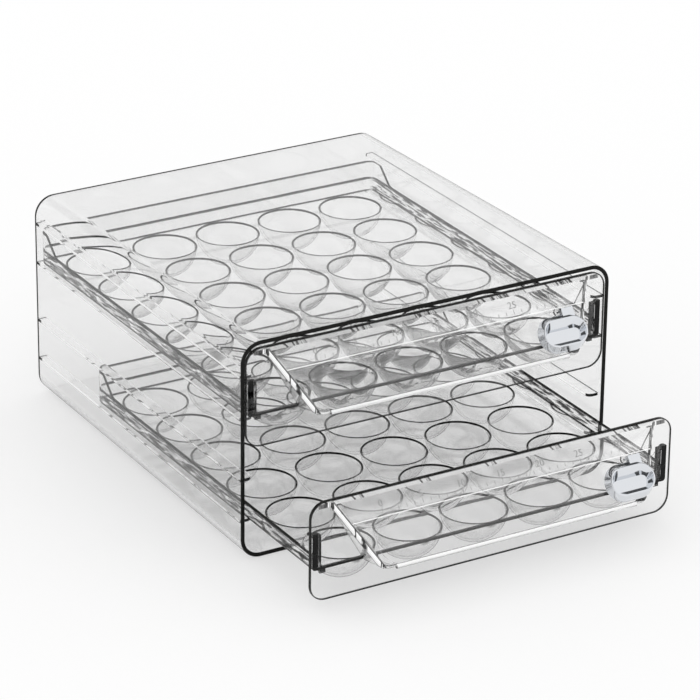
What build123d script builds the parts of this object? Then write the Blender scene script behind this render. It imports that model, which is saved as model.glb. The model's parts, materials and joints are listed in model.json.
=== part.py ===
from build123d import *
import math
import os

# Two-tier egg storage drawer, in millimetres. The origin is at the middle of the
# case's flat underside, +Z is up and the open front of the case faces -Y.

# Egg cups, which set the plan of the trays
cup_columns = 5
cup_rows = 6
cup_mouth_radius = 20.8
cup_web_across = 7.1
cup_web_along = 6.0
cup_depth = 19.5
cup_wall = 1.4
cup_foot_flat = 0.6
cup_lip_flare = 0.7

# Tray that carries the cups, with its deck running on past the outer mouths
deck_side_margin = 11.9
deck_front_margin = 2.7
deck_back_margin = 3.2
tray_wall = 1.6
tray_deck = 1.6
tray_side_height = 11.1
tray_hook_height = 25.3
tray_back_height = 23.5
tray_corner_radius = 8.0
tray_back_rest = 2.5
tray_back_run = 14.0
tray_hook_run = 9.0
tray_hook_rest = 5.0
tray_bend_radius = 7.0
tray_end_flange = 3.9
tray_end_recess = 6.4
tray_rim_round = 0.5
tray_heel_round = 2.0

# Case: an open-fronted sleeve that narrows a little towards its closed back
case_wall = 2.6
case_corner_radius = 14.0
case_back_edge_radius = 3.0
case_rim_round = 0.6
side_draft = 2.3
top_draft = 4.8

# Ledges moulded on the inside of the case's side walls, two pairs for each drawer
ledge_width = 7.8
ledge_thickness = 2.0
ledge_nose_radius = 4.0
ledge_front_setback = 4.0

# Front panel, one for each drawer
panel_thickness = 2.5
panel_height = 67.0
panel_corner_radius = 11.0
panel_edge_round = 0.5

# Pull handle, a hollow wedge on the panel that is open underneath
handle_reach = 29.4
handle_drop = 40.6
handle_plate = 2.2
handle_top_inset = 11.5
handle_side_lean = 0.57
handle_corner_radius = 10.0
handle_edge_round = 3.0
handle_root_drop = 9.0
handle_bead_radius = 1.6

# Raised band and day track on the handle's slope, measured down it from its top edge
band_top = 15.4
band_height = 2.8
band_rise = 0.4
band_end_inset = 12.0
track_head_gap = 0.4
track_lip_margin = 2.3
track_overrun = 10.0
track_depth = 0.6

# Day marker, a chromed finger dish that slides along the track
marker_length = 35.5
marker_head_gap = 3.4
marker_lip_gap = 3.9
marker_end_gap = 0.8
marker_rise = 6.0
marker_end_flare = 1.6
marker_side_flare = 3.0
marker_rim = 1.0
marker_dish_depth = 5.0
marker_dish_taper = 2.2
marker_dish_slope = 6.0
marker_tab_start = 2.7
marker_tab_width = 8.8
marker_tab_rise = 3.4
marker_round = 0.5
marker_stem_width = 7.8
marker_stem_thickness = 1.2
slit_head_gap = 0.3
retainer_overlap = 2.0
retainer_thickness = 1.6
retainer_corner = 1.2

# Clips that hold a tray to its panel
clip_rib = 2.0
clip_headroom = 2.0
foot_width = 4.0
foot_reach = 4.5
foot_thickness = 1.6
foot_drop = 2.6

# Clearances
slide_gap = 0.3
rim_gap = 0.6
clip_gap = 0.25
slit_gap = 0.4
marker_gap = 0.35
tray_side_gap = 0.6
tray_back_gap = 2.0
panel_side_gap = 0.6
panel_floor_gap = 3.5
panel_tier_gap = 3.3
panel_roof_gap = 2.0
cup_floor_gap = 5.0

# The lower drawer stands pulled out by this much, and the upper one is shut
lower_drawer_open = 80.6

# Plan sizes, worked out from the cups outwards
cup_pitch_x = 2 * cup_mouth_radius + cup_web_across
cup_pitch_y = 2 * cup_mouth_radius + cup_web_along
cup_front_row = panel_thickness + deck_front_margin + cup_mouth_radius
tray_front = panel_thickness
tray_half_width = (cup_columns - 1) * cup_pitch_x / 2 + cup_mouth_radius + deck_side_margin
tray_back = cup_front_row + (cup_rows - 1) * cup_pitch_y + cup_mouth_radius + deck_back_margin
inner_half_width = tray_half_width + tray_side_gap + side_draft
case_width = 2 * (inner_half_width + case_wall)
case_depth = tray_back + tray_back_gap + case_wall
case_front = -case_depth / 2
ledge_edge = inner_half_width - ledge_width
panel_half_width = inner_half_width - panel_side_gap

# Heights of the lower drawer's pieces, to which the upper drawer adds tier_pitch
panel_bottom = case_wall + panel_floor_gap
panel_top = panel_bottom + panel_height
tier_pitch = panel_height + panel_tier_gap
case_height = panel_top + tier_pitch + panel_roof_gap + case_wall
cup_floor = case_wall + cup_floor_gap + cup_wall
deck_top = cup_floor + cup_depth
deck_bottom = deck_top - tray_deck
support_ledge_top = deck_bottom - slide_gap
side_top = deck_bottom + tray_side_height
rim_top = deck_bottom + tray_hook_height
back_top = deck_bottom + tray_back_height
guide_ledge_top = rim_top + rim_gap + ledge_thickness
clip_hook = tray_end_flange - tray_wall
cup_radius = (cup_mouth_radius**2 + cup_depth**2) / (2 * cup_depth)

# Handle slope, and where the band, track, slit and marker lie on it
slope_length = math.hypot(handle_reach, handle_drop)
slope_out = handle_reach / slope_length
slope_down = handle_drop / slope_length
handle_half_width = panel_half_width - handle_top_inset
lip_half_width = handle_half_width - handle_side_lean * handle_drop
track_top = band_top + band_height + track_head_gap
track_height = slope_length - track_top - track_lip_margin
marker_top = track_top + marker_head_gap
marker_height = slope_length - marker_lip_gap - marker_top
marker_centre = marker_top + marker_height / 2
face_half_width = handle_half_width - handle_side_lean * slope_down * marker_centre
marker_reach = face_half_width - marker_end_gap - marker_length / 2
slit_height = marker_stem_thickness + 2 * slit_gap
slit_centre = track_top + slit_head_gap + slit_height / 2
tab_centre = marker_tab_start + marker_tab_width / 2
slit_left = -marker_reach + tab_centre - marker_stem_width / 2 - slit_gap
slit_right = marker_reach + tab_centre + marker_stem_width / 2 + slit_gap

# Ways in which a box stands on the point where it is placed
stand_on = (Align.CENTER, Align.CENTER, Align.MIN)
stand_behind = (Align.CENTER, Align.MIN, Align.MIN)
stand_before = (Align.CENTER, Align.MAX, Align.MIN)
drawers = {"upper": (0.0, tier_pitch), "lower": (lower_drawer_open, 0.0)}


def case_block(inset, back):
    """Block that fills the case up to depth back, drawn in by inset, with its long edges round."""
    share = (back - case_front) / case_depth
    wide = case_width / 2 - inset
    narrow = wide - side_draft * share
    front_top = case_height - inset
    rear_top = front_top - top_draft * share
    with BuildPart() as block:
        with BuildSketch():
            with BuildLine():
                Polyline(
                    (-wide, case_front), (wide, case_front), (narrow, back), (-narrow, back), close=True
                )
            make_face()
        extrude(amount=case_height)
        with BuildSketch(Plane.YZ):
            with BuildLine():
                Polyline(
                    (case_front, inset),
                    (back, inset),
                    (back, rear_top),
                    (case_front, front_top),
                    close=True,
                )
            make_face()
        extrude(amount=case_width, both=True, mode=Mode.INTERSECT)
        long_edges = block.edges().filter_by(lambda e: abs((e @ 1 - e @ 0).Y) > case_depth / 2)
        fillet(long_edges, case_corner_radius - inset)
    return block.part


def slope_plane(front, top, x, s, lift=0.0):
    """Plane on the handle's sloping face: local X runs along X, local Y up the slope."""
    place = (x, front - slope_out * s - slope_down * lift, top - slope_down * s + slope_out * lift)
    return Plane(origin=place, x_dir=(1, 0, 0), z_dir=(0, -slope_down, slope_out))


# Case, hollowed from the front with the ledges left standing
with BuildPart() as case:
    add(case_block(0, case_front + case_depth))
    fillet(case.faces().sort_by(Axis.Y)[-1].edges(), case_back_edge_radius)
    with BuildPart(mode=Mode.PRIVATE) as hollow:
        add(case_block(case_wall, case_front + case_depth - case_wall))
        for rise in (0.0, tier_pitch):
            for top in (support_ledge_top, guide_ledge_top):
                with BuildSketch(Plane.XY.offset(rise + top - ledge_thickness)):
                    for side in (-1, 1):
                        length = case_depth - case_wall - ledge_front_setback
                        middle = case_front + ledge_front_setback + length / 2
                        with Locations((side * (ledge_edge + case_width / 2) / 2, middle)):
                            ledge_plan = Rectangle(case_width / 2 - ledge_edge, length)
                        nose = ledge_plan.vertices().group_by(Axis.Y)[0].sort_by(Axis.X)
                        fillet(nose[-1] if side < 0 else nose[0], ledge_nose_radius)
                extrude(amount=ledge_thickness, mode=Mode.SUBTRACT)
    add(hollow.part, mode=Mode.SUBTRACT)
    fillet(case.faces().sort_by(Axis.Y)[0].edges(), case_rim_round)

case.part.label = "case"
parts = {"case": case.part}


def tray_outline(front, inset):
    """Plan of a tray with its two back corners rounded, drawn in by inset all round."""
    width = 2 * (tray_half_width - inset)
    depth = tray_back - tray_front - 2 * inset
    with BuildSketch() as plan:
        with Locations((0, front + (tray_front + tray_back) / 2)):
            Rectangle(width, depth)
        corners = plan.vertices().group_by(Axis.Y)[-1]
        fillet(corners, tray_corner_radius - inset)
    return plan.sketch


def rim_profile(front, rise):
    """Side view of a tray's walls: hooked up at the front, low sides, rising to the back."""
    first = front + tray_front
    last = front + tray_back
    low = deck_bottom + rise
    hook = rim_top + rise
    side = side_top + rise
    high = back_top + rise
    turn = last - tray_corner_radius - tray_back_rest
    rest = first + tray_hook_rest
    with BuildSketch(Plane.YZ) as profile:
        with BuildLine():
            Polyline(
                (first, low),
                (first, hook),
                (rest, hook),
                (rest + tray_hook_run, side),
                (turn - tray_back_run, side),
                (turn, high),
                (last, high),
                (last, low),
                close=True,
            )
        make_face()
        bends = profile.vertices().filter_by(lambda v: rest - 0.1 < v.X < turn + 0.1)
        fillet(bends, tray_bend_radius)
    return profile.sketch


def bowl_solid(radius, foot, top, flare):
    """Part of a ball about the origin between two heights, flared out at its mouth."""
    with BuildPart() as bowl:
        Sphere(radius)
        with Locations((0, 0, foot)):
            Box(3 * radius, 3 * radius, top - foot, align=stand_on, mode=Mode.INTERSECT)
        if flare:
            neck = math.sqrt(radius**2 - (top - flare) ** 2)
            with Locations((0, 0, top - flare)):
                Cone(neck, neck + flare, flare, align=stand_on)
    return bowl.part


def make_tray(front, rise):
    """Tray with a flat deck, hanging cups and low walls, all one moulding."""
    low = deck_bottom + rise
    tall = tray_hook_height
    deck = deck_top + rise
    floor = cup_floor + rise
    middle = floor + cup_radius - cup_foot_flat
    first = front + tray_front
    rows_middle = front + cup_front_row + (cup_rows - 1) * cup_pitch_y / 2
    outer = extrude(tray_outline(front, 0).moved(Location((0, 0, low))), tall)
    inner = extrude(tray_outline(front, tray_wall).moved(Location((0, 0, low))), tall)
    shell = bowl_solid(cup_radius + cup_wall, floor - cup_wall - middle, deck - middle, 0)
    bore = bowl_solid(cup_radius, floor - middle, deck - middle, cup_lip_flare)
    with BuildPart() as tray:
        add(outer)
        add(inner, mode=Mode.SUBTRACT)
        extrude(rim_profile(front, rise), amount=tray_half_width, both=True, mode=Mode.INTERSECT)
        with Locations((0, first, low)):
            gate = 2 * (tray_half_width - tray_end_flange)
            Box(gate, tray_end_recess, tall, align=stand_on, mode=Mode.SUBTRACT)
        crests = tray.faces().filter_by(lambda f: f.normal_at().Z > 0.4)
        fillet(crests.edges().filter_by(lambda e: e.length > 2 * tray_wall), tray_rim_round)
        add(extrude(tray_outline(front, 0).moved(Location((0, 0, low))), tray_deck))
        heel = tray.faces().sort_by(Axis.Z)[0].edges().filter_by(lambda e: (e @ 0.5).Y > first + tray_wall)
        fillet(heel, tray_heel_round)
        for piece, mode in ((shell, Mode.ADD), (bore, Mode.SUBTRACT)):
            with Locations((0, rows_middle, middle)):
                with GridLocations(cup_pitch_x, cup_pitch_y, cup_columns, cup_rows):
                    add(piece, mode=mode)
    return tray.part


def handle_outline(y, top, bottom, inset, corner):
    """Front view of the handle at depth y, leaning in towards its bottom edge."""
    wide = handle_half_width - inset
    narrow = wide - handle_side_lean * (top - bottom)
    with BuildSketch(Plane.XZ.offset(-y)) as outline:
        with BuildLine():
            Polyline((-wide, top), (wide, top), (narrow, bottom), (-narrow, bottom), close=True)
        make_face()
        if corner:
            fillet(outline.vertices().group_by(Axis.Y)[0], corner)
    return outline.sketch


def handle_side_view(front, top, depth):
    """Region under the handle's slope, shifted in by depth, seen from the side."""
    start = top - depth / slope_out
    foot = start - 2 * handle_drop
    with BuildSketch(Plane.YZ) as view:
        with BuildLine():
            Polyline((front, start), (front - 2 * handle_reach, foot), (front, foot), close=True)
        make_face()
    return view.sketch


def make_panel(front, rise):
    """Front panel with its hollow pull handle, day track and tray clips."""
    top = panel_top + rise
    bottom = panel_bottom + rise
    lip = top - handle_drop
    root = lip - handle_root_drop
    reach = front - handle_reach
    low = deck_bottom + rise
    wedge_view = handle_side_view(front, top, 0)
    hollow_view = handle_side_view(front, top, handle_plate)
    with BuildPart() as wedge:
        loft(
            [
                handle_outline(front, top, root, 0, handle_corner_radius),
                handle_outline(reach, top, lip, 0, handle_corner_radius),
            ]
        )
        extrude(wedge_view, amount=panel_half_width, both=True, mode=Mode.INTERSECT)
        slope = wedge.faces().filter_by(lambda f: f.normal_at().Z > slope_out / 2).sort_by(Axis.Y)[0]
        rim = slope.edges().filter_by(lambda e: (e @ 0.5).Z < top - handle_edge_round)
        fillet(rim, handle_edge_round)
    with BuildPart() as pocket:
        loft(
            [
                handle_outline(front, top, bottom, handle_plate, 0),
                handle_outline(reach - handle_plate, top, bottom, handle_plate, 0),
            ]
        )
        extrude(hollow_view, amount=panel_half_width, both=True, mode=Mode.INTERSECT)
    track = slope_plane(front, top, 0, track_top + track_height / 2)
    band = slope_plane(front, top, 0, band_top + band_height / 2)
    slit = slope_plane(front, top, (slit_left + slit_right) / 2, slit_centre)
    band_half = handle_half_width - band_end_inset
    bead = slope_plane(front, top, 0, slope_length - handle_bead_radius, -handle_bead_radius)
    with BuildPart() as panel:
        with BuildSketch(Plane.XZ.offset(-front - panel_thickness)):
            with Locations((0, (top + bottom) / 2)):
                RectangleRounded(2 * panel_half_width, panel_height, panel_corner_radius)
        extrude(amount=panel_thickness)
        fillet(panel.faces().sort_by(Axis.Y)[0].edges(), panel_edge_round)
        fillet(panel.faces().sort_by(Axis.Y)[-1].edges(), panel_edge_round)
        add(wedge.part)
        add(pocket.part, mode=Mode.SUBTRACT)
        with Locations(bead):
            Cylinder(
                handle_bead_radius, 2 * (lip_half_width - handle_corner_radius), rotation=(0, 90, 0)
            )
        with BuildSketch(band):
            SlotOverall(2 * band_half, band_height)
        extrude(amount=band_rise)
        with BuildSketch(track):
            SlotOverall(2 * (marker_reach + track_overrun), track_height)
        extrude(amount=-track_depth, mode=Mode.SUBTRACT)
        with BuildSketch(slit):
            SlotOverall(slit_right - slit_left, slit_height)
        extrude(amount=-2 * handle_plate, mode=Mode.SUBTRACT)
        for side in (-1, 1):
            back = front + panel_thickness
            hook_x = side * (tray_half_width - tray_end_flange - clip_gap)
            foot_x = side * (ledge_edge - slide_gap - foot_width / 2)
            rib_low = low + tray_deck + clip_gap
            rib_tall = tray_hook_height - tray_deck - clip_headroom
            rib_deep = tray_wall + clip_gap + clip_rib
            with Locations((hook_x - side * clip_rib / 2, back, rib_low)):
                Box(clip_rib, rib_deep, rib_tall, align=stand_behind)
            with Locations((hook_x + side * (clip_hook - clip_rib) / 2, back + rib_deep, rib_low)):
                Box(clip_hook + clip_rib, clip_rib, rib_tall, align=stand_before)
            with Locations((foot_x, back, low - foot_drop)):
                Box(foot_width, foot_thickness, foot_drop, align=stand_behind)
            with Locations((foot_x, back, low - clip_gap - foot_thickness)):
                Box(foot_width, foot_reach, foot_thickness, align=stand_behind)
    return panel.part


def make_marker(front, rise):
    """Chromed finger dish with a tab whose stem passes through the handle's slit."""
    top = panel_top + rise
    base = slope_plane(front, top, marker_reach, marker_centre, marker_gap)
    crown = base.offset(marker_rise)
    hollow = base.offset(marker_rise - marker_dish_depth)
    tab_x = marker_reach + tab_centre
    tab_top = track_top - track_head_gap + marker_gap
    tab_foot = marker_top + marker_side_flare
    tab = slope_plane(front, top, tab_x, (tab_top + tab_foot) / 2, marker_gap)
    stem = slope_plane(front, top, tab_x, slit_centre, marker_gap)
    crown_length = marker_length - 2 * marker_end_flare
    crown_height = marker_height - 2 * marker_side_flare
    mouth_length = crown_length - 2 * marker_rim
    mouth_height = crown_height - 2 * marker_rim
    floor_height = mouth_height - marker_dish_taper - marker_dish_slope
    floor_shift = (marker_dish_slope - marker_dish_taper) / 2
    with BuildPart() as dish:
        with BuildSketch(base):
            SlotOverall(marker_length, marker_height)
        with BuildSketch(crown):
            SlotOverall(crown_length, crown_height)
        loft()
        with BuildSketch(tab):
            Rectangle(marker_tab_width, tab_foot - tab_top)
        extrude(amount=marker_tab_rise)
        fillet(dish.edges().filter_by(GeomType.CIRCLE).group_by(SortBy.RADIUS)[0], marker_round)
        with BuildSketch(crown):
            SlotOverall(mouth_length, mouth_height)
        with BuildSketch(hollow):
            with Locations((0, -floor_shift)):
                SlotOverall(mouth_length - 2 * marker_dish_taper, floor_height)
        loft(mode=Mode.SUBTRACT)
        with BuildSketch(stem):
            Rectangle(marker_stem_width, marker_stem_thickness)
        extrude(amount=-(handle_plate + 2 * marker_gap + retainer_thickness))
    return dish.part


def make_retainer(front, rise):
    """Small plate behind the handle's face that keeps the marker's stem in the slit."""
    top = panel_top + rise
    tab_x = marker_reach + tab_centre
    face = slope_plane(front, top, tab_x, slit_centre, -handle_plate - marker_gap)
    width = marker_stem_width + 2 * retainer_overlap
    height = slit_height + 2 * retainer_overlap
    with BuildPart() as retainer:
        with BuildSketch(face):
            RectangleRounded(width, height, retainer_corner)
            Rectangle(marker_stem_width, marker_stem_thickness, mode=Mode.SUBTRACT)
        extrude(amount=-retainer_thickness)
    return retainer.part


for name, (pulled, rise) in drawers.items():
    front = case_front - pulled
    parts[name + "_tray"] = make_tray(front, rise)
    parts[name + "_front_panel"] = make_panel(front, rise)
    parts[name + "_day_marker"] = make_marker(front, rise)
    parts[name + "_marker_retainer"] = make_retainer(front, rise)

os.makedirs("parts", exist_ok=True)
for node, solid in parts.items():
    solid.label = node
    export_step(solid, "parts/" + node + ".step")
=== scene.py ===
import json
import math

import bpy
from mathutils import Matrix, Vector


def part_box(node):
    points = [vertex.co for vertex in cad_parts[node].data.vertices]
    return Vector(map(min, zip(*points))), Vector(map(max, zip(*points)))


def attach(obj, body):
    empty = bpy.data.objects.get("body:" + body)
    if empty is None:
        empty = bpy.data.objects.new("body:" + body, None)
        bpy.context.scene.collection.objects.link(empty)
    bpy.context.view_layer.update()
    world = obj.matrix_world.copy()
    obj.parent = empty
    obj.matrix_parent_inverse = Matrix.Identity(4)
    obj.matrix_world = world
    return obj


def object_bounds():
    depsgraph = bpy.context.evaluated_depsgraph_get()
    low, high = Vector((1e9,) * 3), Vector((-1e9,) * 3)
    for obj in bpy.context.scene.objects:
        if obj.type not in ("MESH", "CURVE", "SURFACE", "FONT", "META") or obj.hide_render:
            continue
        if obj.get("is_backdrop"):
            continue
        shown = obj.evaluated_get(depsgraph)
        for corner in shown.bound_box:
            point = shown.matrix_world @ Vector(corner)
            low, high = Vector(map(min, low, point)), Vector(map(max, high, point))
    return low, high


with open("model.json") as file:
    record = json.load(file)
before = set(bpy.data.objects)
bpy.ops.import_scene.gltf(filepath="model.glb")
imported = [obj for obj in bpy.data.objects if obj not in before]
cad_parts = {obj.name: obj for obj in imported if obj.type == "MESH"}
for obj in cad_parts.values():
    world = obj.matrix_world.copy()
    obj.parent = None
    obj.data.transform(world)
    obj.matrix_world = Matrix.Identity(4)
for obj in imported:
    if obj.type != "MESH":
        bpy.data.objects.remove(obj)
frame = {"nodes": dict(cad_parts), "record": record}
cad_low, cad_high = (list(corner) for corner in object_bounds())
bpy.ops.object.select_all(action="DESELECT")

MM = 0.001
TIERS = ("upper", "lower")
WHITE = (1, 1, 1, 1)


def mm(*sizes):
    """Sizes in millimetres, as metres."""
    return tuple(size * MM for size in sizes)


# Camera, solved from the straight edges of the case and drawers, with its angles in degrees
CAMERA_PLACE = (-1.1796, -2.0331, 1.1057)
CAMERA_AZIMUTH = -30.7241
CAMERA_ELEVATION = 24.0075
CAMERA_ROLL = 0.6589
CAMERA_LENS = 198.58
CAMERA_SENSOR = 36.0
CAMERA_CLIP_END = 50.0

# Floor
FLOOR_SIZE = 8.0
FLOOR_DROP = 0.2 * MM
FLOOR_COLOUR = (0.5, 0.5, 0.5, 1)
FLOOR_GLOW = 0.5

# Room that gloss and glass see: white as far up as a ray rises by WALL_HEIGHT of its length,
# then dark but for the softboxes, and less dark through the plastic. Floor and wall are dimmed
# where smooth plastic mirrors them. A softbox is the way to its middle and half its angle.
WALL_HEIGHT = 0.5
WALL_BLUR = 0.04
ROOM_DARK = 0.1
ROOM_DARK_THROUGH = 0.4
MIRRORED = 0.4
SOFTBOXES = (((0.0, 0.0, 1.0), 24.0), ((0.34, -0.57, 0.74), 22.0))
SOFTBOX_BLUR = 0.01

# Panels, trays, cups and handle slope, as the parts were made
PANEL_THICKNESS = 2.5 * MM
PANEL_CORNER = 11.0 * MM
TRAY_CORNER = 4.0 * MM
CUP_DEPTH = 20.9 * MM
CUP_MOUTH_RADIUS = 20.8 * MM
CUP_PITCH_X = 48.7 * MM
CUP_PITCH_Y = 47.6 * MM
CUP_FRONT_ROW = 26.0 * MM
CUP_ROWS = 6
SIDE_WALL_HEIGHT = 9.5 * MM
BACK_WALL_HEIGHT = 21.9 * MM
HANDLE_REACH = 29.4 * MM
HANDLE_DROP = 40.6 * MM
HANDLE_HALF_WIDTH = 120.9 * MM
HANDLE_LEAN = 0.57
HANDLE_SLOPE = math.hypot(HANDLE_REACH, HANDLE_DROP)
SLOPE_OUT = HANDLE_REACH / HANDLE_SLOPE
SLOPE_DOWN = HANDLE_DROP / HANDLE_SLOPE

# Day scale on the handle's slope, measured down it from its top edge
DAYS = 30
NUMBERED_DAYS = 5
NUMBER_SIZE = 6.4 * MM
NUMBER_PLACE = 9.2 * MM
SCALE_LIFT = 0.05 * MM
SCALE_RISE = 0.14 * MM
TICK_WIDTH = 0.42 * MM
TICK_LENGTH = 2.2 * MM
LONG_TICK_LENGTH = 3.2 * MM
TICK_FOOT = 15.0 * MM

# Clear plastic: how it bends light, its soft ripple, its shadow, and how much its pieces absorb
PLASTIC_IOR = 1.49
RIPPLE = 0.12
RIPPLE_SCALE = 26.0
RIPPLE_HEIGHT = 0.4 * MM
SHADOW_TINT = (0.81, 0.81, 0.81, 1)
CASE_DENSITY = 4.0
DRAWER_DENSITY = 8.0
RETAINER_DENSITY = 15.0

# Chrome, with faint wipe marks in its gloss
CHROME_COLOUR = (0.74, 0.76, 0.79, 1)
CHROME_ROUGHNESS = 0.03
WIPE_ROUGHNESS = 0.08
WIPE_SCALE = 900.0
WIPE_DEPTH = 0.05 * MM

# Frosted figures of the day scale
FROST_COLOUR = (0.55, 0.55, 0.55, 1)

# Painted shade: the cut edges of the clear plastic are painted near black, as they look dark. From
# here on, a pair says where a line has faded to none and where it is full, and a group of four says
# where it starts, is full, is still full and ends.
PAINTED_SHADE_COLOUR = (0.012, 0.012, 0.011, 1)
PAINTED_SHADE_COVER = 0.94
CASE_RIM = mm(1.1, 0.7)
PANEL_RIM = mm(-0.9, -0.4)
PANEL_SIDES = mm(-1.2, -0.7)
PANEL_SIDES_FACING = (0.95, 0.6)
PANEL_SKIN = mm(-0.8, -0.3)
CLIPS_BEHIND = mm(0.05, 0.3)
CLIP_COVER = 0.95
CLIP_STREAKS = (420.0, 60.0, 55.0)
CLIP_STREAK_LEVEL = (0.5, 0.6)
CLIP_STREAK_COVER = 0.55

# The same painted shade on the trays, as heights over the deck, heights from a wall's top for the
# rail and the crest, and distances outside the outline
WALL_TOPS = mm(1.5, 2.5)
WALL_TOPS_FACING = (0.3, 0.8)
TRAY_RIM = mm(-2.2, -1.2)
FOOT_LINE = mm(0.6, 0.1)
SIDE_RAIL = mm(-1.5, -1.2, 0.1, 0.4)
BACK_CREST = mm(-1.3, -1.0)
MOUTH_RING = mm(0.9, 0.6)
MOUTH_HEIGHT = mm(-1.0, -0.7, 0.2, 0.4)
BOWL_TOP = mm(-2.0, -3.0)
BOWL_EDGE_ON = (0.72, 0.96)
CUP_COVER = 0.85
CORNER_SKIN = mm(-0.5, -0.2)
CORNER_LENGTH = mm(16.0, 12.0)
CORNER_EDGE_ON = (0.7, 0.9)
SCRIBBLE_STREAKS = (9.0, 60.0, 900.0)
SCRIBBLE_LEVEL = (0.52, 0.545)
SCRIBBLE_HEIGHT = mm(10.0, 9.0)
SCRIBBLE_ENDS_FACING = (0.5, 0.3)
SCRIBBLE_SIDES_FACING = (0.5, 0.8)
SCRIBBLE_COVER = 0.88

# Painted light and dark glints, sheen and highlight lines on a handle, glowing a little. Along is
# down its slope, depth is into it, inset is in from its side, reach is out of the panel and drop is
# down from the panel's top.
PAINTED_GLINT_LIGHT = 0.95
PAINTED_GLINT_CONTRAST = 0.94
SLOPE_SKIN = mm(0.5, 0.3)
SLOPE_START = mm(0.6, 1.2)
SIDE_EDGE_INSET = mm(3.9, 3.6)
SIDE_EDGE_DEPTH = mm(4.0, 3.7)
SIDE_EDGE_REACH = mm(0.4, 0.9)
SIDE_EDGE_COVER = 0.92
HORN_INSET = 1.5 * MM
HORN_HALF_WIDTH = mm(8.0, 6.5)
HORN_DROP = mm(1.2, 1.8, 4.0, 4.8)
HORN_REACH = mm(1.2, 0.9)
BROKEN_ACROSS = 300.0
BROKEN_ALONG = 170.0
BROKEN_SLANT = 240.0
BROKEN_SIDES_DIFFER = 3.0
BROKEN_LEVEL = (0.53, 0.57)
BROKEN_DARK_TOP = mm(9.0, 3.0)
BROKEN_DARK_TOP_MORE = 0.08
SIDE_LINE_INSET = mm(2.6, 2.9)
SIDE_LINE_DEPTH = mm(2.8, 3.1)
SIDE_LINE_CORNER = mm(0.7, 0.4)
SIDE_LINE_COVER = 0.9
PAINTED_SHEEN = mm(7.0, 13.0, 16.1, 16.4)
SHEEN_COVER = 0.2
PAINTED_HIGHLIGHT_LINE = mm(16.9, 17.1, 17.6, 17.8)
PAINTED_LIP_HIGHLIGHT = mm(47.6, 47.9, 49.6, 49.8)
LINE_COVER = 0.7


class Num:
    """A socket in a node tree that adds Math nodes as Python does sums."""

    def __init__(self, tree, socket):
        self.tree = tree
        self.socket = socket

    def _math(self, operation, *values):
        node = self.tree.nodes.new("ShaderNodeMath")
        node.operation = operation
        for place, value in zip(node.inputs, values):
            if isinstance(value, Num):
                self.tree.links.new(value.socket, place)
            else:
                place.default_value = value
        return Num(self.tree, node.outputs[0])

    def __add__(self, other):
        return self._math("ADD", self, other)

    def __sub__(self, other):
        return self._math("SUBTRACT", self, other)

    def __rsub__(self, other):
        return self._math("SUBTRACT", other, self)

    def __mul__(self, other):
        return self._math("MULTIPLY", self, other)

    def __truediv__(self, other):
        return self._math("DIVIDE", self, other)

    def __abs__(self):
        return self._math("ABSOLUTE", self)

    def __round__(self):
        return self._math("ROUND", self)

    def root(self):
        return self._math("SQRT", self)

    def maximum(self, other):
        return self._math("MAXIMUM", self, other)

    def minimum(self, other):
        return self._math("MINIMUM", self, other)

    def fade(self, none, full):
        """0 at none, 1 at full, and smooth between them."""
        node = self.tree.nodes.new("ShaderNodeMapRange")
        node.interpolation_type = "SMOOTHSTEP"
        rising = none < full
        node.inputs["From Min"].default_value = none if rising else full
        node.inputs["From Max"].default_value = full if rising else none
        node.inputs["To Min"].default_value = 0.0 if rising else 1.0
        node.inputs["To Max"].default_value = 1.0 if rising else 0.0
        self.tree.links.new(self.socket, node.inputs["Value"])
        return Num(self.tree, node.outputs[0])

    def band(self, start, full, still_full, end):
        """1 from full to still_full, and 0 before start and after end."""
        return self.fade(start, full) * self.fade(end, still_full)


def hypot(across, along):
    return (across * across + along * along).root()


class Finish:
    """A material, or the world that is given as owner, whose nodes are added one by one."""

    def __init__(self, name, owner=None):
        self.owner = owner or bpy.data.materials.new(name)
        self.owner.use_nodes = True
        self.tree = self.owner.node_tree
        self.tree.nodes.clear()

    def node(self, kind, settings=None, **sockets):
        """A node of that kind, with its settings made first and then its sockets.
        A socket goes by its name, with _ for a space, or by _ and its number."""
        made = self.tree.nodes.new(kind)
        for key, value in (settings or {}).items():
            setattr(made, key, value)
        for key, value in sockets.items():
            place = int(key[1:]) if key[0] == "_" else key.replace("_", " ")
            self.put(value, made.inputs[place])
        return made

    def put(self, value, place):
        """Links a Num, a socket or a node's first socket to a place, or sets a plain value there."""
        if isinstance(value, Num):
            value = value.socket
        if isinstance(value, bpy.types.Node):
            value = value.outputs[0]
        if isinstance(value, bpy.types.NodeSocket):
            self.tree.links.new(value, place)
        else:
            place.default_value = value

    def num(self, node, output=0):
        return Num(self.tree, node.outputs[output])

    def parts_of(self, vector):
        """The three numbers of a vector socket."""
        split = self.node("ShaderNodeSeparateXYZ", _0=vector)
        return [self.num(split, axis) for axis in "XYZ"]

    def place(self):
        return self.parts_of(self.node("ShaderNodeTexCoord").outputs["Object"])

    def facing(self):
        return self.parts_of(self.node("ShaderNodeNewGeometry").outputs["Normal"])

    def edge_on(self):
        """0 where a face looks at the eye, and up to 1 where it is seen edge on."""
        return self.num(self.node("ShaderNodeLayerWeight", Blend=0.5), "Facing")

    def streaks(self, x, y, z):
        """Noise from 0 to 1 at a place that has been stretched to suit."""
        stretched = self.node("ShaderNodeCombineXYZ", X=x, Y=y, Z=z)
        return self.num(self.node("ShaderNodeTexNoise", Scale=1.0, Detail=2.0, Vector=stretched))

    def end(self, kind, shader, volume=None):
        out = self.node(kind, Surface=shader)
        if volume:
            self.put(volume, out.inputs["Volume"])
        return self.owner


# Looks of the clear mouldings


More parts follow.
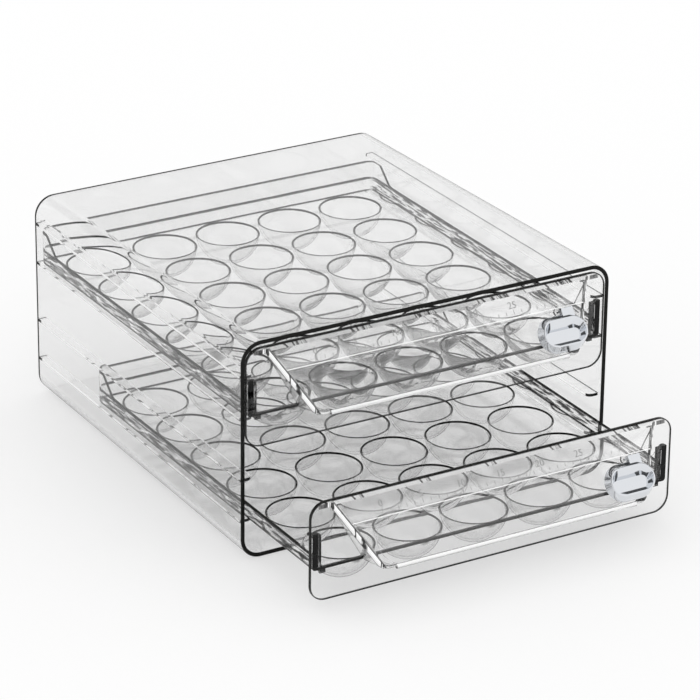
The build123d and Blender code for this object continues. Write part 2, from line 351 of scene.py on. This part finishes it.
def plastic_shader(finish):
    """Clear gloss plastic, and how it lets the floor's light and shadow through."""
    waves = finish.node("ShaderNodeTexNoise", Scale=RIPPLE_SCALE, Detail=1.0)
    finish.put(finish.node("ShaderNodeTexCoord").outputs["Object"], waves.inputs["Vector"])
    bump = finish.node("ShaderNodeBump", Strength=RIPPLE, Distance=RIPPLE_HEIGHT, Height=waves)
    body = finish.node(
        "ShaderNodeBsdfPrincipled",
        Base_Color=WHITE,
        Roughness=0.0,
        IOR=PLASTIC_IOR,
        Transmission_Weight=1.0,
        Normal=bump,
    )
    thin = finish.node("ShaderNodeBsdfTransparent", Color=SHADOW_TINT)
    rays = finish.node("ShaderNodeLightPath")
    passing = finish.num(rays, "Is Shadow Ray").maximum(finish.num(rays, "Is Diffuse Ray"))
    return finish.node("ShaderNodeMixShader", _0=passing, _1=body, _2=thin)


def clear_moulding(name, density, ink=None, gleam=None):
    """Clear moulded plastic. Its cut edges are painted near black, as painted shade, where the shade
    function of the finish gives 1. The glint function gives how much of a spot is covered by painted
    light and dark glints, and how light they are; these glow a little."""
    finish = Finish(name)
    shader = plastic_shader(finish)
    # Painted highlights and dark glints, with a little glow from their emission.
    if gleam:
        painted_glint_cover, painted_glint_tone = gleam(finish)
        painted_glint_shader = finish.node(
            "ShaderNodeBsdfPrincipled",
            Base_Color=painted_glint_tone,
            Roughness=0.25,
            Emission_Color=painted_glint_tone,
            Emission_Strength=0.3,
        )
        shader = finish.node("ShaderNodeMixShader", _0=painted_glint_cover, _1=shader, _2=painted_glint_shader)
    # Painted shade: a near-black gloss mixed over the cut edges.
    if ink:
        edge = finish.node(
            "ShaderNodeBsdfPrincipled",
            Base_Color=PAINTED_SHADE_COLOUR,
            Roughness=0.12,
            Specular_IOR_Level=0.08,
        )
        shader = finish.node("ShaderNodeMixShader", _0=ink(finish), _1=shader, _2=edge)
    depth = finish.node("ShaderNodeVolumeAbsorption", Color=(0, 0, 0, 1), Density=density)
    return finish.end("ShaderNodeOutputMaterial", shader, depth)


def stretch(place, sizes):
    """A place with each of its three numbers times a size of its own."""
    return [number * size for number, size in zip(place, sizes)]


def outline_distance(x, y, centre, half, corner):
    """How far outside a rectangle with round corners a point is, less than 0 inside it."""
    across = abs(x - centre[0]) - (half[0] - corner)
    along = abs(y - centre[1]) - (half[1] - corner)
    outside = hypot(across.maximum(0.0), along.maximum(0.0))
    return outside + across.maximum(along).minimum(0.0) - corner


def case_ink(finish):
    """Painted shade: the front rim of the case, painted near black."""
    behind_front = finish.place()[1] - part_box("case")[0].y
    return behind_front.fade(*CASE_RIM) * PAINTED_SHADE_COVER


def panel_ink(tier):
    """Painted shade: the edge all round a panel and the clips behind it, streaked lighter on the
    clips.
    """
    low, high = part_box(tier + "_front_panel")
    front = panel_front(tier)
    centre = ((low.x + high.x) / 2, (low.z + high.z) / 2)
    half = ((high.x - low.x) / 2, (high.z - low.z) / 2)

    def ink(finish):
        x, y, z = finish.place()
        behind_front = y - front
        outside = outline_distance(x, z, centre, half, PANEL_CORNER)
        sides = outside.fade(*PANEL_SIDES) * abs(finish.facing()[1]).fade(*PANEL_SIDES_FACING)
        rim = outside.fade(*PANEL_RIM).maximum(sides) * behind_front.fade(*PANEL_SKIN)
        # Painted shade on the clips, lighter in noise streaks like glints.
        clips = (behind_front - PANEL_THICKNESS).fade(*CLIPS_BEHIND)
        painted_glint_patches = finish.streaks(*stretch((x, y, z), CLIP_STREAKS)).fade(*CLIP_STREAK_LEVEL)
        return rim.maximum(clips * (CLIP_COVER - painted_glint_patches * CLIP_STREAK_COVER)) * PAINTED_SHADE_COVER

    return ink


def panel_gleam(tier):
    """Painted light: light and dark glint streaks down the handle's side edges and on the horns at
    their tops, a painted sheen over its scale, and painted highlight lines below the scale and along
    the lip."""
    front = panel_front(tier)
    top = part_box(tier + "_front_panel")[1].z

    def gleam(finish):
        x, y, z = finish.place()
        drop = top - z
        reach = front - y
        along = reach * SLOPE_OUT + drop * SLOPE_DOWN
        depth = drop * SLOPE_OUT - reach * SLOPE_DOWN
        inset = HANDLE_HALF_WIDTH - drop * HANDLE_LEAN - abs(x)
        corner = inset + depth

        edge = inset.fade(*SIDE_EDGE_INSET) * depth.fade(*SIDE_EDGE_DEPTH)
        edge = edge * reach.fade(*SIDE_EDGE_REACH)
        horn = abs(abs(x) - HANDLE_HALF_WIDTH + HORN_INSET).fade(*HORN_HALF_WIDTH)
        horn = horn * drop.band(*HORN_DROP) * abs(reach).fade(*HORN_REACH)
        painted_glint_patches = edge.maximum(horn)

        slanted = along * BROKEN_ALONG + inset * BROKEN_SLANT
        right_side = x.maximum(0.0) * BROKEN_SIDES_DIFFER
        broken = finish.streaks(corner * BROKEN_ACROSS, slanted, right_side)
        broken = broken + along.fade(*BROKEN_DARK_TOP) * BROKEN_DARK_TOP_MORE
        line = inset.fade(*SIDE_LINE_INSET).maximum(depth.fade(*SIDE_LINE_DEPTH))
        line = line.maximum(corner.fade(*SIDE_LINE_CORNER)) * SIDE_LINE_COVER
        painted_glint_tone = PAINTED_GLINT_LIGHT - broken.fade(*BROKEN_LEVEL).maximum(line) * PAINTED_GLINT_CONTRAST

        # Painted sheen and painted highlight lines on the slope.
        slope = depth.fade(*SLOPE_SKIN) * along.fade(*SLOPE_START)
        painted_lines = along.band(*PAINTED_HIGHLIGHT_LINE).maximum(along.band(*PAINTED_LIP_HIGHLIGHT)) * LINE_COVER
        flat = (along.band(*PAINTED_SHEEN) * SHEEN_COVER).maximum(painted_lines) * slope
        painted_glint_cover = (painted_glint_patches * SIDE_EDGE_COVER).maximum(flat)
        return painted_glint_cover, painted_glint_tone.maximum(slope * (1.0 - painted_glint_patches) * PAINTED_GLINT_LIGHT)

    return gleam


def tray_ink(tier):
    """Painted shade: the tops, rails and feet of a tray's walls, its corners at the back, dark
    painted glints scribbled along its sides, and the mouths and bowls of its cups, all painted near
    black."""
    low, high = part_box(tier + "_tray")
    first_row = panel_front(tier) + CUP_FRONT_ROW
    deck_top = tray_deck(tier)
    centre = ((low.x + high.x) / 2, (low.y + high.y) / 2)
    half = ((high.x - low.x) / 2, (high.y - low.y) / 2)

    def ink(finish):
        x, y, z = finish.place()
        normal = finish.facing()
        edge_on = finish.edge_on()
        height = z - deck_top
        outside = outline_distance(x, y, centre, half, TRAY_CORNER)

        wall_tops = normal[2].fade(*WALL_TOPS_FACING) * height.fade(*WALL_TOPS)
        rim = outside.fade(*TRAY_RIM)
        crest = (height - BACK_WALL_HEIGHT).fade(*BACK_CREST)
        rails = (height - SIDE_WALL_HEIGHT).band(*SIDE_RAIL).maximum(crest)
        rails = rails.maximum(height.fade(*FOOT_LINE)) * rim
        corners = edge_on.fade(*CORNER_EDGE_ON) * outside.fade(*CORNER_SKIN)
        corners = corners * (high.y - y).fade(*CORNER_LENGTH)

        # Painted dark glints, scribbled along the tray's sides.
        painted_scribble_glints = finish.streaks(*stretch((x, y, z), SCRIBBLE_STREAKS)).fade(*SCRIBBLE_LEVEL)
        painted_scribble_glints = painted_scribble_glints * rim * height.fade(*SCRIBBLE_HEIGHT) * SCRIBBLE_COVER
        sideways = abs(normal[0]).fade(*SCRIBBLE_SIDES_FACING)
        painted_scribble_glints = painted_scribble_glints * normal[1].fade(*SCRIBBLE_ENDS_FACING) * sideways

        across = x - round(x / CUP_PITCH_X) * CUP_PITCH_X
        row = round((y - first_row) / CUP_PITCH_Y).maximum(0.0).minimum(CUP_ROWS - 1)
        along = y - first_row - row * CUP_PITCH_Y
        mouths = abs(hypot(across, along) - CUP_MOUTH_RADIUS).fade(*MOUTH_RING)
        mouths = mouths * height.band(*MOUTH_HEIGHT)
        # Painted shade on the bowls where they are seen edge on.
        bowls = edge_on.fade(*BOWL_EDGE_ON) * height.fade(*BOWL_TOP)

        painted_lines = wall_tops.maximum(rails).maximum(corners).maximum(painted_scribble_glints)
        return painted_lines.maximum(mouths.maximum(bowls) * CUP_COVER)

    return ink


# Looks of the other pieces


def chrome(name):
    finish = Finish(name)
    place = finish.node("ShaderNodeTexCoord").outputs["Object"]
    wipes = finish.node("ShaderNodeTexNoise", Scale=WIPE_SCALE, Detail=2.0, Vector=place)
    bump = finish.node("ShaderNodeBump", Strength=0.05, Distance=WIPE_DEPTH, Height=wipes)
    metal = finish.node(
        "ShaderNodeBsdfPrincipled",
        Base_Color=CHROME_COLOUR,
        Roughness=finish.num(wipes) * WIPE_ROUGHNESS + CHROME_ROUGHNESS,
        Metallic=1.0,
        Normal=bump,
    )
    return finish.end("ShaderNodeOutputMaterial", metal)


def scale_print(name):
    """Frosted raised figures, a little greyer than the clear plastic they stand on."""
    finish = Finish(name)
    frost = finish.node(
        "ShaderNodeBsdfPrincipled",
        Base_Color=FROST_COLOUR,
        Roughness=0.5,
        IOR=PLASTIC_IOR,
        Transmission_Weight=0.4,
    )
    return finish.end("ShaderNodeOutputMaterial", frost)


def dress(node, material):
    piece = frame["nodes"][node]
    piece.data.materials.clear()
    piece.data.materials.append(material)


# Places and travels, from the frame


def panel_front(tier):
    """Where a panel's flat front face is. The upper drawer is shut, so that its panel stands
    at the case's front."""
    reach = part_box("upper_front_panel")[0].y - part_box(tier + "_front_panel")[0].y
    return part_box("case")[0].y - reach


def tray_deck(tier):
    """How high the top of a tray's deck is, which is the cups' depth over their feet."""
    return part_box(tier + "_tray")[0].z + CUP_DEPTH


def joint_travel(name):
    for joint in frame["record"]["behaviour"]["joints"]:
        if joint["name"] == name:
            return joint["range_m"][1] - joint["range_m"][0]
    raise ValueError("no joint named " + name)


# Day scales


def slope_matrix(tier, x, along, lift):
    """Place on a handle's slope: local X runs along X, local Y up the slope, local Z out of it."""
    y = panel_front(tier) - SLOPE_OUT * along - SLOPE_DOWN * lift
    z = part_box(tier + "_front_panel")[1].z - SLOPE_DOWN * along + SLOPE_OUT * lift
    turn = Matrix(((1, 0, 0), (0, SLOPE_OUT, -SLOPE_DOWN), (0, SLOPE_DOWN, SLOPE_OUT)))
    return Matrix.Translation((x, y, z)) @ turn.to_4x4()


def settle(piece, matrix):
    """Moves a piece to its place and leaves its object at the origin, unturned."""
    piece.matrix_world = matrix @ piece.matrix_world
    bpy.ops.object.select_all(action="DESELECT")
    piece.select_set(True)
    bpy.context.view_layer.objects.active = piece
    bpy.ops.object.transform_apply(location=True, rotation=True, scale=True)
    return piece


def join(pieces, name):
    bpy.ops.object.select_all(action="DESELECT")
    for piece in pieces:
        piece.select_set(True)
    bpy.context.view_layer.objects.active = pieces[0]
    bpy.ops.object.join()
    whole = bpy.context.object
    whole.name = name
    whole.data.name = name
    return whole


def day_number(day):
    bpy.ops.object.text_add(location=(0, 0, 0))
    figure = bpy.context.object
    figure.data.body = str(day)
    figure.data.size = NUMBER_SIZE
    figure.data.extrude = SCALE_RISE / 2
    figure.data.align_x = "CENTER"
    figure.data.align_y = "CENTER"
    bpy.ops.object.convert(target="MESH")
    return bpy.context.object


def tick(length):
    """Small raised stroke with its upper edges eased."""
    bpy.ops.mesh.primitive_cube_add(size=1.0, location=(0, length / 2, 0))
    stroke = bpy.context.object
    stroke.scale = (TICK_WIDTH, length, SCALE_RISE)
    bpy.ops.object.transform_apply(location=True, rotation=True, scale=True)
    easing = stroke.modifiers.new("easing", "BEVEL")
    easing.width = SCALE_RISE / 3
    easing.segments = 1
    bpy.ops.object.modifier_apply(modifier="easing")
    return stroke


def make_day_scale(tier, material):
    travel = joint_travel(tier + "_marker_slide")
    pieces = []
    for day in range(DAYS + 1):
        x = travel * (day / DAYS - 0.5)
        numbered = day % NUMBERED_DAYS == 0
        stroke = tick(LONG_TICK_LENGTH if numbered else TICK_LENGTH)
        pieces.append(settle(stroke, slope_matrix(tier, x, TICK_FOOT, SCALE_LIFT)))
        if numbered:
            pieces.append(settle(day_number(day), slope_matrix(tier, x, NUMBER_PLACE, SCALE_LIFT)))
    scale = join(pieces, tier + "_day_scale")
    scale.data.materials.clear()
    scale.data.materials.append(material)
    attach(scale, tier + "_drawer")


# Camera, floor and light


def make_camera():
    azimuth = math.radians(CAMERA_AZIMUTH)
    elevation = math.radians(CAMERA_ELEVATION)
    roll = math.radians(CAMERA_ROLL)
    flat = math.cos(elevation)
    back = Vector((math.sin(azimuth) * flat, -math.cos(azimuth) * flat, math.sin(elevation)))
    level = (-back).cross(Vector((0, 0, 1))).normalized()
    above = level.cross(-back)
    right = math.cos(roll) * level + math.sin(roll) * above
    up = math.cos(roll) * above - math.sin(roll) * level
    turn = Matrix((right, up, back)).transposed()
    data = bpy.data.cameras.new("camera")
    data.sensor_fit = "HORIZONTAL"
    data.sensor_width = CAMERA_SENSOR
    data.lens = CAMERA_LENS
    data.clip_end = CAMERA_CLIP_END
    camera = bpy.data.objects.new("camera", data)
    bpy.context.scene.collection.objects.link(camera)
    camera.matrix_world = Matrix.Translation(CAMERA_PLACE) @ turn.to_4x4()
    bpy.context.scene.camera = camera


def mirrored(finish, rays):
    """1 for what the smooth plastic's faces mirror, so that they don't look milky."""
    return finish.num(rays, "Is Reflection Ray") * finish.num(rays, "Is Singular Ray")


def make_floor():
    bpy.ops.mesh.primitive_plane_add(size=FLOOR_SIZE, location=(0, 0, -FLOOR_DROP))
    floor = bpy.context.object
    floor.name = "floor"
    finish = Finish("floor_white")
    rays = finish.node("ShaderNodeLightPath")
    shown = finish.num(rays, "Is Camera Ray").maximum(finish.num(rays, "Is Transmission Ray"))
    shown = shown.maximum(finish.num(rays, "Is Glossy Ray"))
    lit = finish.node("ShaderNodeBsdfDiffuse", Color=FLOOR_COLOUR)
    glow = finish.node("ShaderNodeEmission", Color=WHITE, Strength=shown * FLOOR_GLOW)
    both = finish.node("ShaderNodeAddShader", _0=lit, _1=glow)
    dim = finish.node("ShaderNodeEmission", Color=WHITE, Strength=MIRRORED)
    whole = finish.node("ShaderNodeMixShader", _0=mirrored(finish, rays), _1=both, _2=dim)
    floor.data.materials.append(finish.end("ShaderNodeOutputMaterial", whole))
    floor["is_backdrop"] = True


def make_world():
    """Plain white for the eye and for matt surfaces. Gloss and glass see a darker room higher up."""
    world = bpy.data.worlds.new("studio")
    bpy.context.scene.world = world
    sky = Finish("studio", world)
    rays = sky.node("ShaderNodeLightPath")
    way = sky.node("ShaderNodeTexCoord").outputs["Generated"]
    plain = sky.num(rays, "Is Camera Ray").maximum(sky.num(rays, "Is Diffuse Ray"))
    wall = sky.parts_of(way)[2].fade(WALL_HEIGHT + WALL_BLUR, WALL_HEIGHT - WALL_BLUR)
    wall = wall * (1.0 - mirrored(sky, rays) * (1.0 - MIRRORED))
    through = sky.num(rays, "Is Transmission Ray") * ROOM_DARK_THROUGH
    strength = plain.maximum(wall).maximum(through).maximum(ROOM_DARK)
    for middle, half_angle in SOFTBOXES:
        aim = Vector(middle).normalized()
        near = sky.node("ShaderNodeVectorMath", {"operation": "DOT_PRODUCT"}, _0=way, _1=aim)
        edge = math.cos(math.radians(half_angle))
        softbox = sky.num(near, "Value").fade(edge - SOFTBOX_BLUR, edge + SOFTBOX_BLUR)
        strength = strength.maximum(softbox)
    light = sky.node("ShaderNodeBackground", Color=WHITE, Strength=strength)
    sky.end("ShaderNodeOutputWorld", light)


make_camera()
make_floor()
make_world()
dress("case", clear_moulding("case_clear", CASE_DENSITY, case_ink))
chromed = chrome("chrome")
marks = scale_print("scale_marks")
plate = clear_moulding("retainer_clear", RETAINER_DENSITY)
for tier in TIERS:
    dress(tier + "_tray", clear_moulding(tier + "_tray_clear", DRAWER_DENSITY, tray_ink(tier)))
    panel = clear_moulding(tier + "_panel_clear", DRAWER_DENSITY, panel_ink(tier), panel_gleam(tier))
    dress(tier + "_front_panel", panel)
    dress(tier + "_day_marker", chromed)
    dress(tier + "_marker_retainer", plate)
    make_day_scale(tier, marks)

bpy.context.scene.view_settings.view_transform = "Standard"
low, high = (list(corner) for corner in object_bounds())
{"cad": [cad_low, cad_high], "visual": [low, high]}
